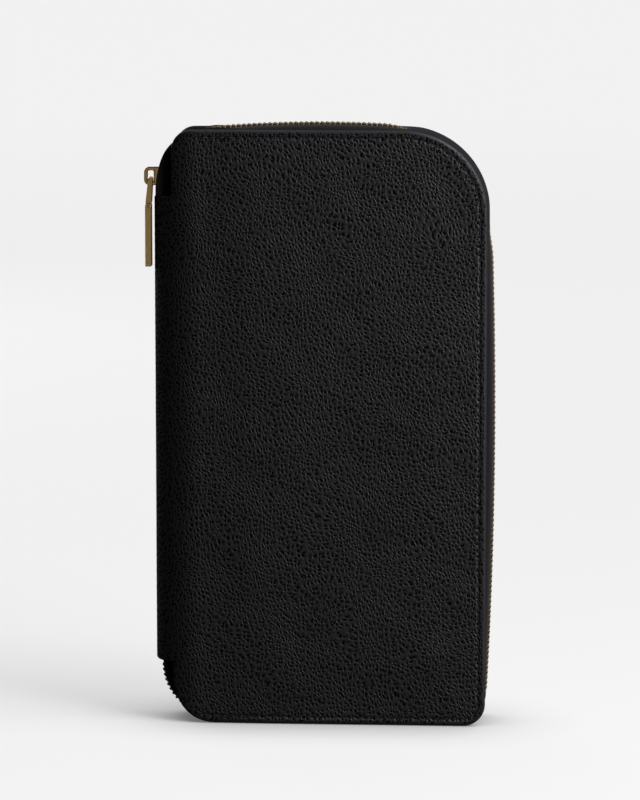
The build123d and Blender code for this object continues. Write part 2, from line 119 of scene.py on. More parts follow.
class Nodes:
    """A short way to build the node tree of a material or the world."""

    def __init__(self, owner):
        owner.use_nodes = True
        self.owner = owner
        self.tree = owner.node_tree

    def add(self, kind, links=None, **settings):
        """A node with its settings; links names an input and gives a value or another node's output."""
        node = self.tree.nodes.new(kind)
        for key, value in settings.items():
            setattr(node, key, value)
        for key, value in (links or {}).items():
            self.join(node.inputs[key], value)
        return node

    def join(self, socket, value):
        if isinstance(value, bpy.types.NodeSocket):
            self.tree.links.new(value, socket)
        else:
            socket.default_value = value

    def math(self, operation, first, second=0.0):
        return self.add("ShaderNodeMath", {0: first, 1: second}, operation=operation).outputs[0]

    def vector(self, operation, first, second):
        return self.add("ShaderNodeVectorMath", {0: first, 1: second}, operation=operation).outputs[0]

    def turned(self, vector, angle=0.0, scale=(1, 1, 1)):
        links = {"Vector": vector, "Rotation": (0, 0, angle), "Scale": scale}
        return self.add("ShaderNodeMapping", links).outputs["Vector"]

    def drifted(self, vector, along, scale, reach):
        """A vector moved about by up to a reach, by a noise that changes along another vector."""
        noise_node = self.add("ShaderNodeTexNoise", {"Vector": along, "Scale": scale, "Detail": 1.0})
        drift = self.vector("MULTIPLY", noise_node.outputs["Color"], (reach, reach, 0))
        return self.vector("ADD", vector, drift)

    def noise(self, vector, scale, detail=2.0, roughness=0.5):
        links = {"Vector": vector, "Scale": scale, "Detail": detail, "Roughness": roughness}
        return self.add("ShaderNodeTexNoise", links).outputs["Fac"]

    def ramp(self, value, low, high, to_low=0.0, to_high=1.0, smooth=False):
        links = {"Value": value, "From Min": low, "From Max": high, "To Min": to_low, "To Max": to_high}
        kind = "SMOOTHSTEP" if smooth else "LINEAR"
        return self.add("ShaderNodeMapRange", links, interpolation_type=kind).outputs["Result"]

    def mixed(self, factor, first, second):
        """Two colours mixed, each an output or four numbers."""
        links = {"Factor": factor, "A": first, "B": second}
        return self.add("ShaderNodeMix", links, data_type="RGBA").outputs["Result"]

    def colours(self, factor, first, second):
        return self.mixed(factor, (*first, 1), (*second, 1))

    def bump(self, height, distance, strength):
        links = {"Height": height, "Distance": distance, "Strength": strength}
        return self.add("ShaderNodeBump", links).outputs["Normal"]

    def finish(self, **inputs):
        """Sets the shader's inputs, named with underscores for spaces, and gives the material."""
        shader = self.tree.nodes["Principled BSDF"]
        for key, value in inputs.items():
            self.join(shader.inputs[key.replace("_", " ")], value)
        return self.owner

    def millimetres(self, source="uv"):
        """Surface coordinates in millimetres, from the mesh's flat layout or from space."""
        if source == "uv":
            vector = self.add("ShaderNodeUVMap", uv_map="flat").outputs["UV"]
        else:
            vector = self.add("ShaderNodeTexCoord").outputs["Object"]
        return self.vector("MULTIPLY", vector, (TO_MM, TO_MM, TO_MM))


def new_material(name):
    return Nodes(bpy.data.materials.new(name))


def pebbled_leather():
    """Black leather with raised ridges about 2 mm apart round small pits, calmer near its edges. The pits
    are painted near black as shade, and a lighter band along the rolled edge is a painted highlight.
    """
    n = new_material("pebbled_leather")
    worn_dark, worn_light = (0.0052, 0.0046, 0.0062), (0.0074, 0.0066, 0.0086)
    # The first of these colours is a painted highlight along the rolled edge; the second is painted shade in
    # the pits.
    edge_highlight_colour, pit_shade_colour = (0.015, 0.014, 0.016, 1), (0.0012, 0.0012, 0.0014, 1)
    ridge_rise, pit_fall, fine_rise = 0.3, 0.7, 0.2
    place = n.millimetres()
    moved = n.drifted(place, place, scale=0.045, reach=9)
    moved = n.drifted(moved, place, scale=0.45, reach=1.5)
    pebbles = n.turned(moved, angle=-0.2, scale=(1.0, 0.82, 1))
    links = {"Vector": pebbles, "Scale": 0.66, "Randomness": 0.8}
    cells = n.add("ShaderNodeTexVoronoi", links, voronoi_dimensions="2D", feature="F1").outputs["Distance"]
    borders = n.add("ShaderNodeTexVoronoi", links, voronoi_dimensions="2D", feature="DISTANCE_TO_EDGE")
    from_edge = n.add("ShaderNodeAttribute", attribute_name="edge_distance").outputs["Fac"]
    from_edge = n.math("MULTIPLY", from_edge, TO_MM)

    strength = n.ramp(n.noise(pebbles, 0.5, 2.0), 0.3, 0.62, 0.65, 1.0)
    strength = n.math("MULTIPLY", strength, n.ramp(from_edge, 0.1, 1.3))
    pit = n.math("MULTIPLY", n.ramp(cells, 0.1, 0.46, 1.0, 0.0, smooth=True), strength)
    ridge = n.ramp(borders.outputs["Distance"], 0.0, 0.26, 1.0, 0.0, smooth=True)
    fine = n.noise(place, 3.2, 3.0, 0.6)
    height = n.math("MULTIPLY", ridge, ridge_rise)
    height = n.math("SUBTRACT", height, n.math("MULTIPLY", pit, pit_fall))
    height = n.math("ADD", height, n.math("MULTIPLY", fine, fine_rise))
    relief = n.ramp(from_edge, 0.05, 2.2, 0.06, 0.52, smooth=True)

    patches = n.ramp(n.noise(place, 0.03, 2.0), 0.3, 0.7)
    # Painted highlight: the colour is lighter along the rolled edge, where it catches the light.
    edge_highlight_mask = n.ramp(from_edge, 0.3, 1.3, 1.0, 0.0, smooth=True)
    tone_and_edge_highlight = n.mixed(edge_highlight_mask, n.colours(patches, worn_dark, worn_light), edge_highlight_colour)
    shine = n.math("MULTIPLY", n.ramp(pit, 0.1, 0.8, 0.6, 0.02), n.ramp(from_edge, 0.0, 2.0, 0.45, 1.0))
    return n.finish(
        # The pits' colour is painted shade, near black.
        Base_Color=n.mixed(pit, tone_and_edge_highlight, pit_shade_colour),
        Roughness=n.math("ADD", n.ramp(pit, 0, 1, 0.44, 0.7), n.math("MULTIPLY", fine, 0.1)),
        Normal=n.bump(height, 0.4 * MM, relief),
        Specular_IOR_Level=shine,
    )


def smooth_leather(name, dark, light):
    """Thin leather with a fine grain."""
    n = new_material(name)
    place = n.millimetres()
    links = {"Vector": place, "Scale": 1.5, "Randomness": 1.0}
    cells = n.add("ShaderNodeTexVoronoi", links, voronoi_dimensions="2D", feature="DISTANCE_TO_EDGE")
    grain = n.ramp(cells.outputs["Distance"], 0.0, 0.3, smooth=True)
    fine = n.noise(place, 4.0, 3.0)
    height = n.math("ADD", n.math("MULTIPLY", grain, 0.5), n.math("MULTIPLY", fine, 0.5))
    colour = n.colours(n.ramp(height, 0.2, 0.8), dark, light)
    return n.finish(
        Base_Color=colour, Roughness=n.ramp(fine, 0.3, 0.7, 0.42, 0.6), Normal=n.bump(height, 0.1 * MM, 0.8)
    )


def woven(name, dark, light, pitch, rise, slant, sheen):
    """Cloth whose crossing yarns lie at a pitch and stand up by a rise, both in millimetres."""
    n = new_material(name)
    place = n.millimetres()
    parts = n.add("ShaderNodeSeparateXYZ", {0: n.turned(place, slant)})
    turns = 2 * math.pi / pitch
    across = n.math("SINE", n.math("MULTIPLY", parts.outputs["X"], turns))
    along = n.math("SINE", n.math("MULTIPLY", parts.outputs["Y"], turns))
    weave = n.math("MULTIPLY", across, along)
    over = n.math("MAXIMUM", n.math("MULTIPLY", across, n.math("GREATER_THAN", weave, 0.0)), weave)
    fuzz = n.noise(place, 5.0, 3.0, 0.7)
    height = n.math("ADD", n.math("MULTIPLY", over, 0.5), n.math("MULTIPLY", fuzz, 0.5))
    return n.finish(
        Base_Color=n.colours(n.ramp(height, 0.0, 0.8), dark, light),
        Roughness=n.ramp(fuzz, 0.3, 0.7, 0.75, 0.95),
        Normal=n.bump(height, rise * MM, 0.9),
        Sheen_Weight=sheen,
        Specular_IOR_Level=sheen,
    )


def gold_metal(name, dark, light, polish):
    """Gold-coloured plating with faint rubbing marks; polish is how rough its shiniest parts are."""
    n = new_material(name)
    place = n.millimetres("space")
    rub = n.noise(n.turned(place, scale=(1, 1, 0.15)), 3.0, 3.0)
    tint = n.ramp(n.noise(place, 0.35, 2.0), 0.3, 0.7)
    return n.finish(
        Base_Color=n.colours(tint, dark, light),
        Roughness=n.ramp(rub, 0.3, 0.7, polish, polish + 0.12),
        Normal=n.bump(rub, 0.004 * MM, 0.4),
        Metallic=1.0,
    )


def thread(name, dark, light):
    """Waxed thread, with its twist."""
    n = new_material(name)
    place = n.millimetres()
    parts = n.add("ShaderNodeSeparateXYZ", {0: place})
    lay = n.math("ADD", parts.outputs["X"], n.math("MULTIPLY", parts.outputs["Y"], 0.8))
    twist = n.math("SINE", n.math("MULTIPLY", lay, 16.0))
    height = n.math("ADD", n.math("MULTIPLY", twist, 0.5), n.noise(place, 8.0, 2.0))
    return n.finish(
        Base_Color=n.colours(n.ramp(height, -0.4, 1.1), dark, light),
        Roughness=n.ramp(height, -0.5, 1.5, 0.7, 0.5),
        Normal=n.bump(height, 0.06 * MM, 0.8),
        Specular_IOR_Level=0.25,
    )


def grained(name, dark, light, scale, rise, roughness):
    """A plain core material with a speckled grain, in space coordinates."""
    n = new_material(name)
    speckle = n.noise(n.millimetres("space"), scale, 4.0, 0.7)
    colour = n.colours(n.ramp(speckle, 0.3, 0.7), dark, light)
    return n.finish(Base_Color=colour, Roughness=roughness, Normal=n.bump(speckle, rise * MM, 0.7))


leather = pebbled_leather()
pocket_leather = smooth_leather("pocket_leather", dark=(0.010, 0.010, 0.011), light=(0.032, 0.031, 0.033))
tape_black, tape_grey = (0.003, 0.0028, 0.004), (0.015, 0.014, 0.019)
tape_cloth = woven("zip_tape_weave", tape_black, tape_grey, pitch=0.6, rise=0.14, slant=0.785, sheen=0.08)
twill_dark, twill_light = (0.028, 0.027, 0.028), (0.08, 0.078, 0.08)
lining_cloth = woven("lining_twill", twill_dark, twill_light, pitch=0.7, rise=0.05, slant=0.6, sheen=0.25)
gold = gold_metal("gold_metal", (0.92, 0.58, 0.17), (0.97, 0.67, 0.26), polish=0.15)
# The teeth use the same gold plating, painted much darker as the shade they sit in between the tapes.
teeth_gold_painted_shade = gold_metal("teeth_gold_painted_shade", (0.15, 0.115, 0.05), (0.23, 0.175, 0.08), polish=0.4)
black_thread = thread("waxed_thread", dark=(0.003, 0.003, 0.0035), light=(0.012, 0.012, 0.013))
foam = grained("foam", (0.012, 0.012, 0.013), (0.03, 0.03, 0.031), scale=2.5, rise=0.1, roughness=0.95)
board_dark, board_light = (0.016, 0.015, 0.014), (0.04, 0.037, 0.034)
board = grained("bonded_board", board_dark, board_light, scale=1.4, rise=0.05, roughness=0.85)


# ---------------- mesh helpers


def linked(name, data):
    """A new object in the scene."""
    obj = bpy.data.objects.new(name, data)
    bpy.context.scene.collection.objects.link(obj)
    return obj


def aim(obj, direction):
    obj.rotation_euler = direction.to_track_quat("-Z", "Y").to_euler()


def dress(piece, slot, body, *nodes):
    """Hides the CAD nodes that a piece stands for and hangs the piece on its body. The slot is not used."""
    if nodes:
        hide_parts(*nodes)
    if body:
        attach(piece, body)


def new_object(name, points, faces, material, uvs):
    """A mesh object from points and faces, shaded smooth. uvs gives each point's flat place."""
    mesh = bpy.data.meshes.new(name)
    mesh.from_pydata([tuple(p) for p in points], [], [tuple(int(i) for i in f) for f in faces])
    layer = mesh.uv_layers.new(name="flat")
    corner_points = np.zeros(len(mesh.loops), int)
    mesh.loops.foreach_get("vertex_index", corner_points)
    layer.data.foreach_set("uv", np.asarray(uvs, float)[corner_points].astype(np.float32).ravel())
    work = bmesh.new()
    work.from_mesh(mesh)
    bmesh.ops.recalc_face_normals(work, faces=work.faces)
    work.to_mesh(mesh)
    work.free()
    mesh.polygons.foreach_set("use_smooth", [True] * len(mesh.polygons))
    mesh.set_sharp_from_angle(angle=sharp_angle)
    mesh.materials.append(material)
    return linked(name, mesh)


def smoothstep(value, low, high):
    t = np.clip((value - low) / (high - low), 0, 1)
    return t * t * (3 - 2 * t)


def hump(value, middle, width):
    """1 at the middle, fading to 0 some widths away."""
    return np.exp(-(((value - middle) / width) ** 2))


def rolled(distance, radius):
    """How far a rounded edge falls away at a distance from it."""
    return radius - np.sqrt(np.maximum(radius**2 - np.maximum(radius - distance, 0) ** 2, 0))


def waves(first, second, per_metre, seed):
    """Slow uneven waves over a surface, from -1 to 1."""
    places = [Vector((a * per_metre, b * per_metre, seed)) for a, b in zip(first, second)]
    return np.array([noise.noise(place) for place in places])


def arc_points(centre, radius, start, end, shares):
    """Points at shares of the way from start to end, on a circle."""
    points = []
    for share in shares:
        toward = (start - centre) * (1 - share) + (end - centre) * share
        points.append(centre + toward / np.linalg.norm(toward) * radius)
    return points


def rounded_line(corners, step=1.2 * MM):
    """A closed line, counter-clockwise, through (u, v, radius) corners, as points about a step apart."""
    places = np.array([corner[:2] for corner in corners])
    points = []
    for index, (_, _, radius) in enumerate(corners):
        here = places[index]
        back = places[index - 1] - here
        back /= np.linalg.norm(back)
        ahead = places[(index + 1) % len(places)] - here
        ahead /= np.linalg.norm(ahead)
        half_angle = math.acos(np.clip(back @ ahead, -1, 1)) / 2
        if radius <= 0:
            points.append(here)
            continue
        start = here + back * radius / math.tan(half_angle)
        end = here + ahead * radius / math.tan(half_angle)
        middle = (back + ahead) / np.linalg.norm(back + ahead)
        centre = here + middle * radius / math.sin(half_angle)
        steps = max(4, int(radius * (math.pi - 2 * half_angle) / (0.5 * step)))
        points += arc_points(centre, radius, start, end, np.linspace(0, 1, steps + 1))
    dense = []
    for index, here in enumerate(points):
        after = points[(index + 1) % len(points)]
        pieces = max(1, int(np.linalg.norm(after - here) / step))
        for part in range(pieces):
            dense.append(here + (after - here) * part / pieces)
    return np.array(dense)


def along_line(at, lengths, points):
    """Places at some lengths along a line of points."""
    return np.stack([np.interp(at, lengths, column) for column in points.T], axis=-1)


def distance_to_line(points, line, keep=None):
    """Distance from each point to a closed line; keep marks the stretches that count."""
    start = line
    end = np.roll(line, -1, axis=0)
    if keep is not None:
        start, end = start[keep], end[keep]
    best = np.full(len(points), np.inf)
    for a, b in zip(start, end):
        along = b - a
        share = np.clip(((points - a) @ along) / max(along @ along, 1e-18), 0, 1)
        best = np.minimum(best, np.linalg.norm(points - a - share[:, None] * along, axis=1))
    return best


def plate(name, outline, rings, top, bottom, place, material, spacing, open_side=None, hole=None):
    """A closed sheet. outline(inset) is its closed line in flat coordinates, top and bottom give the depth
    of its faces from (distance to the edge, u, v), and place(u, v, depth) puts a point in space. An open
    side, at a u, doesn't count as an edge. hole(inset) is the closed line of a window."""
    same_place = 1e-7
    edge = outline(0.0)
    loops = [outline(inset) for inset in rings]
    keep = None
    if open_side is not None:
        on_side = np.abs(edge[:, 0] - open_side) < same_place
        keep = ~(on_side & np.roll(on_side, -1))
    low, high = edge.min(axis=0), edge.max(axis=0)
    across = np.arange(low[0], high[0], spacing)
    up = np.arange(low[1], high[1], spacing * 0.87)
    grid = np.array([(u + (row % 2) * spacing / 2, v) for row, v in enumerate(up) for u in across])
    clear = distance_to_line(grid, edge, keep)
    grid = grid[(clear > rings[-1] + spacing * 0.5) & inside(grid, loops[-1])]
    points = np.concatenate([edge, *loops, grid])
    lines = []
    if hole is not None:
        rim = hole(0.0)
        halo = [hole(-inset) for inset in (0.1 * MM, 0.3 * MM, 1.0 * MM)]
        points = points[~inside(points, hole(-1.5 * MM))]
        lines = [(len(points) + i, len(points) + (i + 1) % len(rim)) for i in range(len(rim))]
        points = np.concatenate([points, rim, *halo])
    coords = [Vector(p) for p in points]
    solved = delaunay_2d_cdt(coords, lines, [list(range(len(edge)))], 1, same_place)
    flat = np.array([tuple(p) for p in solved[0]])
    faces = [tuple(f) for f in solved[2]]
    distance = distance_to_line(flat, edge, keep)
    if hole is not None:
        middles = np.array([flat[list(face)].mean(axis=0) for face in faces])
        faces = [face for face, gone in zip(faces, inside(middles, rim)) if not gone]
        distance = np.minimum(distance, distance_to_line(flat, rim))
    count = len(flat)
    u, v = flat.T
    every = np.concatenate([place(u, v, face(distance, u, v)) for face in (top, bottom)])
    used = {}  # edges in the direction that each face runs along them
    for face in faces:
        for a, b in zip(face, face[1:] + face[:1]):
            used[(a, b)] = True
    sides = [(a, b, b + count, a + count) for (a, b) in used if (b, a) not in used]
    backs = [tuple(i + count for i in reversed(face)) for face in faces]
    obj = new_object(name, every, faces + backs + sides, material, np.tile(flat, (2, 1)))
    edge_layer = obj.data.attributes.new("edge_distance", "FLOAT", "POINT")
    edge_layer.data.foreach_set("value", np.tile(distance, 2).astype(np.float32))
    return obj


def inside(points, line):
    """True for each point within a closed line."""
    hits = np.zeros(len(points), bool)
    for a, b in zip(line, np.roll(line, -1, axis=0)):
        crosses = (a[1] > points[:, 1]) != (b[1] > points[:, 1])
        rise = b[1] - a[1] if abs(b[1] - a[1]) > 1e-12 else 1e-12
        hits ^= crosses & (points[:, 0] < (b[0] - a[0]) * (points[:, 1] - a[1]) / rise + a[0])
    return hits


def strip(name, outer, inner, material, uvs):
    """A closed band between two grids of points, each rows x columns x 3."""
    rows, columns = outer.shape[:2]
    count = rows * columns
    index = np.arange(count).reshape(rows, columns)
    faces = []
    for r in range(rows - 1):
        for c in range(columns - 1):
            a, b, d, e = index[r, c], index[r, c + 1], index[r + 1, c + 1], index[r + 1, c]
            faces.append((a, b, d, e))
            faces.append((a + count, e + count, d + count, b + count))
    rim = [*index[0, :], *index[1:, -1], *index[-1, -2::-1], *index[-2:0:-1, 0]]
    for a, b in zip(rim, rim[1:] + rim[:1]):
        faces.append((a, a + count, b + count, b))
    points = np.concatenate([outer.reshape(-1, 3), inner.reshape(-1, 3)])
    return new_object(name, points, faces, material, np.tile(uvs.reshape(-1, 2), (2, 1)))


def scatter(name, pattern, places, material):
    """Copies of a pattern (points, faces) at places, each an origin with three axes, in one object."""
    points, faces = pattern
    points = np.asarray(points)
    every, polygons, uvs = [], [], []
    for index, (origin, axes) in enumerate(places):
        every.append(np.asarray(origin) + points @ np.asarray(axes))
        polygons.extend(tuple(i + index * len(points) for i in face) for face in faces)
        uvs.append(points[:, :2] + np.array([index * 3.1 * MM, 0]))
    return new_object(name, np.concatenate(every), polygons, material, np.concatenate(uvs))


# ---------------- the covers' section


def cover_name(side):
    return "rear" if side == REAR else "front"


def cover_body(side):
    return cover_name(side) + "_cover"


curve_angles = np.linspace(0, math.pi / 2, 600)
curve_xs = curve_x - curve_length * np.sin(curve_angles)
curve_ys = half_thickness * np.cos(curve_angles)
curve_steps = np.linalg.norm(np.diff([curve_xs, curve_ys]), axis=0)
curve_lengths = np.concatenate([[0], np.cumsum(curve_steps)])
seam_s = -curve_lengths[-1]


def wrap_length(x):
    """Length along the section from where it starts to curve, negative towards the spine."""
    return np.where(x >= curve_x, x - curve_x, -np.interp(-x, -curve_xs, curve_lengths))


fold_s = float(wrap_length(np.array(fold_x)))
right_s = panel_right - curve_x


def wrap_place(side):
    """Places a flat point (s, z) at a depth under the front or rear surface."""

    def place(s, z, depth):
        angle = np.interp(-s, curve_lengths, curve_angles)
        x = curve_x + np.maximum(s, 0) - curve_length * np.sin(angle)
        y = half_thickness * np.cos(angle)
        normal = np.stack([-np.sin(angle) / curve_length, np.cos(angle) / half_thickness], axis=1)
        normal /= np.linalg.norm(normal, axis=1)[:, None]
        return np.stack([x - normal[:, 0] * depth, side * (y - normal[:, 1] * depth), z], axis=1)

    return place


def cover_outline(inset, extra=0.0):
    """A cover with its half of the spine as a tab, drawn in by an inset. extra draws it in as a whole."""
    d = inset + extra
    left, right, low, high = fold_s + d, right_s - d, panel_low + d, panel_high - d
    low_left, low_right, high_right, high_left = [radius - inset for radius in panel_radii]
    return rounded_line(
        [
            (seam_s, spine_foot + d, 0),
            (left, spine_foot + d, notch_radius + d),
            (left, low, low_left),
            (right, low, low_right),
            (right, high, high_right),
            (left, high, high_left),
            (left, spine_high - d, notch_radius + d),
            (seam_s, spine_high - d, 0),
        ]
    )


def edge_thickness(s):
    """The turned edge is thick where it wraps the board and thin at the fold and spine."""
    thin, wrapped = 2.0, 1.1
    return (thin + wrapped * smoothstep(s, fold_s, 0.0)) * MM


def cover_leather(name, side):
    """The leather of one cover and its half of the spine: turned edge, stitch groove and a soft crown."""
    groove_depth, groove_width = 0.3 * MM, 0.42 * MM
    crown_height, wave_height, sunk = 0.3 * MM, 0.09 * MM, 0.6 * MM
    turned_width, inner_round = 1.35 * MM, 0.3 * MM

    def top(d, s, z):
        groove = groove_depth * hump(d, stitch_inset, groove_width) * smoothstep(s, -4 * MM, 2 * MM)
        crown = crown_height * smoothstep(d, 3 * MM, 26 * MM) * smoothstep(s, -2 * MM, 20 * MM)
        slope = sunk * smoothstep(s, seam_s, -8 * MM) * (1 - smoothstep(s, -4 * MM, 30 * MM))
        uneven = wave_height * waves(s, z, 28, 5.0 + side) * smoothstep(d, 2 * MM, 8 * MM)
        return rolled(d, edge_round) + groove - crown + slope + uneven

    def bottom(d, s, z):
        return np.where(d < turned_width, edge_thickness(s) - rolled(d, inner_round), leather_depth)

    rings = [r * MM for r in (0.08, 0.25, 0.5, 0.8, 1.2, 1.5, 1.9, 2.2, 2.5, 2.8, 3.1, 3.4, 3.8, 4.6)]
    return plate(name, cover_outline, rings, top, bottom, wrap_place(side), leather, 1.8 * MM, seam_s)


fold_y = half_thickness * math.sqrt(1 - ((fold_x - curve_x) / curve_length) ** 2)


def blend_fold(piece):
    """Works out the fold line's direction, from the cover to the spine, which is not used, and bakes the
    piece's transform into its mesh.
    """
    rise = (curve_x - fold_x) * half_thickness / curve_length
    along = Vector((curve_length * fold_y / half_thickness, rise, 0))
    along.normalize()
    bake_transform(piece)


def capsule(length, radius, sag):
    """One stitch along X whose ends dip down into the leather: points and faces."""
    rings, sides = 7, 8
    points = []
    for share in np.linspace(-1, 1, rings):
        width = radius * math.sqrt(max(1 - abs(share) ** 3, 0.05))
        for turn in range(sides):
            angle = 2 * math.pi * turn / sides
            lift = width * math.sin(angle) - sag * share**2
            points.append((share * length / 2, width * math.cos(angle), lift))
    faces = [tuple(range(sides)), tuple(reversed(range((rings - 1) * sides, rings * sides)))]
    for ring in range(rings - 1):
        for turn in range(sides):
            a = ring * sides + turn
            b = ring * sides + (turn + 1) % sides
            faces.append((a, a + sides, b + sides, b))
    return points, faces


def stitch_places(line, pitch, place, depth, keep):
    """Places for stitches along a flat line, at a depth under the surface that place gives."""
    steps = np.linalg.norm(np.diff(line, axis=0, append=line[:1]), axis=1)
    total = steps.sum()
    lengths = np.concatenate([[0], np.cumsum(steps)])
    closed = np.concatenate([line, line[:1]])
    places = []
    for number in range(int(total / pitch)):
        middle = (number + 0.5) * total / int(total / pitch)
        ends = []
        for offset in (-0.5 * MM, 0.5 * MM):
            ends.append(along_line((middle + offset) % total, lengths, closed))
        ends = np.array(ends)
        centre = ends.mean(axis=0)
        if not keep(centre):
            continue
        here = place(centre[:1], centre[1:], np.array([depth]))[0]
        above = place(centre[:1], centre[1:], np.array([depth - MM]))[0]
        two = place(ends[:, 0], ends[:, 1], np.array([depth, depth]))
        along = (two[1] - two[0]) / np.linalg.norm(two[1] - two[0])
        up = (above - here) / np.linalg.norm(above - here)
        beside = np.cross(up, along)
        along = along + stitch_slant * beside
        along /= np.linalg.norm(along)
        beside = np.cross(up, along)
        places.append((here, (along, beside, up)))
    return places


def edge_stitching(name, side):
    """Thread in the groove along the top, free edge and bottom."""
    line = cover_outline(stitch_inset)
    spine_side = -1 * MM
    places = stitch_places(line, stitch_pitch, wrap_place(side), 0.22 * MM, lambda p: p[0] > spine_side)
    return scatter(name, capsule(2.7 * MM, 0.3 * MM, 0.3 * MM), places, black_thread)


def add_cover(side):
    """Leather and stitching of one cover."""
    cover = cover_name(side)
    skin = cover_leather(cover + "_cover_leather", side)
    dress(skin, "outer_leather", None, cover + "_leather", "spine_leather")
    blend_fold(skin)
    stitches = edge_stitching(cover + "_stitches", side)
    dress(stitches, "thread", cover_body(side), cover + "_edge_stitching")


# ---------------- the zip


def even_shares(start, end, step):
    """Shares of the way from start up to, not including, end, about a step apart."""
    count = max(2, int(np.linalg.norm(end - start) / step))
    return np.arange(count) / count


def chain_line():
    """The chain as (points, outward normals, lengths), clockwise from the spine's foot over the top."""
    left, right, low, high = chain_left, chain_right, chain_low, chain_high
    corners = [np.array(corner) for corner in ((left, low), (right, low), (right, high), (left, high))]
    circles = []
    for index, bow in enumerate(chain_bows):
        a, b = corners[index], corners[(index + 1) % 4]
        half = np.linalg.norm(b - a) / 2
        radius = (half**2 + bow**2) / (2 * bow)
        outward = np.array([(b - a)[1], -(b - a)[0]]) / (2 * half)
        circles.append(((a + b) / 2 + outward * (bow - radius), radius))
    arcs = []
    for index, small in enumerate(chain_radii):
        (c1, r1), (c2, r2) = circles[index - 1], circles[index]
        r1, r2 = r1 - small, r2 - small
        gap = np.linalg.norm(c2 - c1)
        along = (c2 - c1) / gap
        reach = (gap**2 + r1**2 - r2**2) / (2 * gap)
        height = math.sqrt(max(r1**2 - reach**2, 0))
        across = np.array([-along[1], along[0]])
        options = [c1 + along * reach + across * height, c1 + along * reach - across * height]
        centre = min(options, key=lambda c: np.linalg.norm(c - corners[index]))
        start = c1 + (centre - c1) / np.linalg.norm(centre - c1) * (r1 + small)
        end = c2 + (centre - c2) / np.linalg.norm(centre - c2) * (r2 + small)
        arcs.append((centre, small, start, end))
    points = []
    for index, (centre, small, start, end) in enumerate(arcs):
        after = arcs[(index + 1) % 4][2]
        points += arc_points(centre, small, start, end, even_shares(start, end, 0.4 * MM))
        points += arc_points(*circles[index], end, after, even_shares(end, after, 1.0 * MM))
    points = np.array(points)[::-1]
    start_height = spine_low + 14 * MM
    first = int(np.argmin(np.abs(points[:, 0] - chain_left) + np.abs(points[:, 1] - start_height)))
    points = np.roll(points, -first, axis=0)
    along = np.roll(points, -1, axis=0) - np.roll(points, 1, axis=0)
    along /= np.linalg.norm(along, axis=1)[:, None]
    normals = np.stack([-along[:, 1], along[:, 0]], axis=1)
    steps = np.linalg.norm(np.diff(points, axis=0), axis=1)
    return points, normals, np.concatenate([[0], np.cumsum(steps)])


chain_points, chain_normals, chain_lengths = chain_line()


def at_chain(lengths):
    """Points, outward normals and directions of the chain at lengths from its start, as rows of (x, z)."""
    points = along_line(lengths, chain_lengths, chain_points)
    normals = along_line(lengths, chain_lengths, chain_normals)
    normals /= np.linalg.norm(normals, axis=1)[:, None]
    points = points - normals * corner_draw * corner_bump(lengths)[:, None]
    return points, normals, np.stack([normals[:, 1], -normals[:, 0]], axis=1)


def corner_bump(lengths):
    """1 round the wide top right corner and 0 elsewhere."""
    x, z = along_line(lengths, chain_lengths, chain_points).T
    return smoothstep(x, 24 * MM, 40 * MM) * smoothstep(z, panel_high - 50 * MM, panel_high - 26 * MM)


def first_length(height, last=False):
    """Length at which the chain passes a height on its straight left side, on its way out or back."""
    off_side = chain_points[:, 0] > chain_left + 0.3 * MM
    near = np.abs(chain_points[:, 1] - height) + 10 * off_side
    half = len(near) // 2
    if last:
        return chain_lengths[half + int(np.argmin(near[half:]))]
    return chain_lengths[int(np.argmin(near[:half]))]


def outer_y(x):
    """Distance of the outer surface from the middle plane."""
    into = np.clip((curve_x - x) / curve_length, 0, 1)
    return half_thickness * np.sqrt(1 - into**2)


def plain_section(share, reach, inward, bulge):
    """Tape section beside a cover, as (out, y): across the edge, then in under the cover."""
    b, c, d = 3 * share * (1 - share) ** 2, 3 * share**2 * (1 - share), share**3
    a = 1 - b - c - d
    y = a * tape_edge + b * (0.45 * tape_edge + 0.55 * reach) + (c + d) * reach
    return (0.35 * b + bulge * c) * MM - d * inward, y


def gusset_section(share, reach, inward, rise):
    """Tape section beside the parked slider: flat under its plates, then a fold that stands up past them."""
    crest = np.minimum(reach, slider_side + 0.9 * MM)
    flat = smoothstep(share, 0.0, 0.35)
    up = smoothstep(share, 0.35, 0.65)
    down = smoothstep(share, 0.65, 1.0)
    y = tape_edge + (slider_side - tape_edge) * flat
    y = y + (crest - slider_side) * up + (reach - crest) * down
    return rise * up - (rise + inward) * down, y


